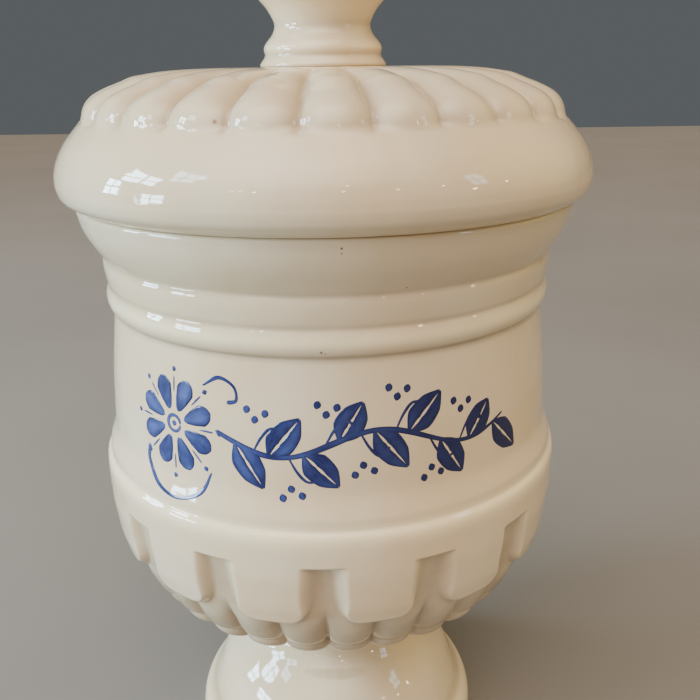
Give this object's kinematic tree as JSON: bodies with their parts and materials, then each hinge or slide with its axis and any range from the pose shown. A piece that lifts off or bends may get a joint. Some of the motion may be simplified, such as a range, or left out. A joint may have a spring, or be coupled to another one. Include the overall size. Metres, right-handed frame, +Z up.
{
  "type": "lidded apothecary jar",
  "caption": "Footed glazed ceramic jar with a lobed bowl, beaded neck and flared rim, closed by a lift-off lid with radial lobes and a knob finial.",
  "frame": {"origin": "centre of the ring the foot stands on, at the jar's base", "axes": "+Z up along the jar's axis, from foot to finial; the painted front of the jar faces -Y"},
  "size_m": [0.161, 0.161, 0.294],
  "materials": {
    "foot_glaze": "glossy clear glaze over cream earthenware",
    "jar_glaze": "glossy clear glaze over cream earthenware, hand-painted cobalt ornament on the front",
    "lid_glaze": "glossy clear glaze over cream earthenware",
    "flange_glaze": "glossy clear glaze over cream earthenware",
    "finial_glaze": "glossy clear glaze over cream earthenware"
  },
  "bodies": {
    "jar": {"pedestal_foot": "foot_glaze", "jar_body": "jar_glaze"},
    "lid": {"lid_cover": "lid_glaze", "lid_locating_flange": "flange_glaze", "lid_finial": "finial_glaze"}
  },
  "joints": [
    {"name": "lid_lift", "type": "slide", "parent": "jar", "child": "lid", "axis": [0, 0, 1], "range_m": [0, 0.12]}
  ]
}
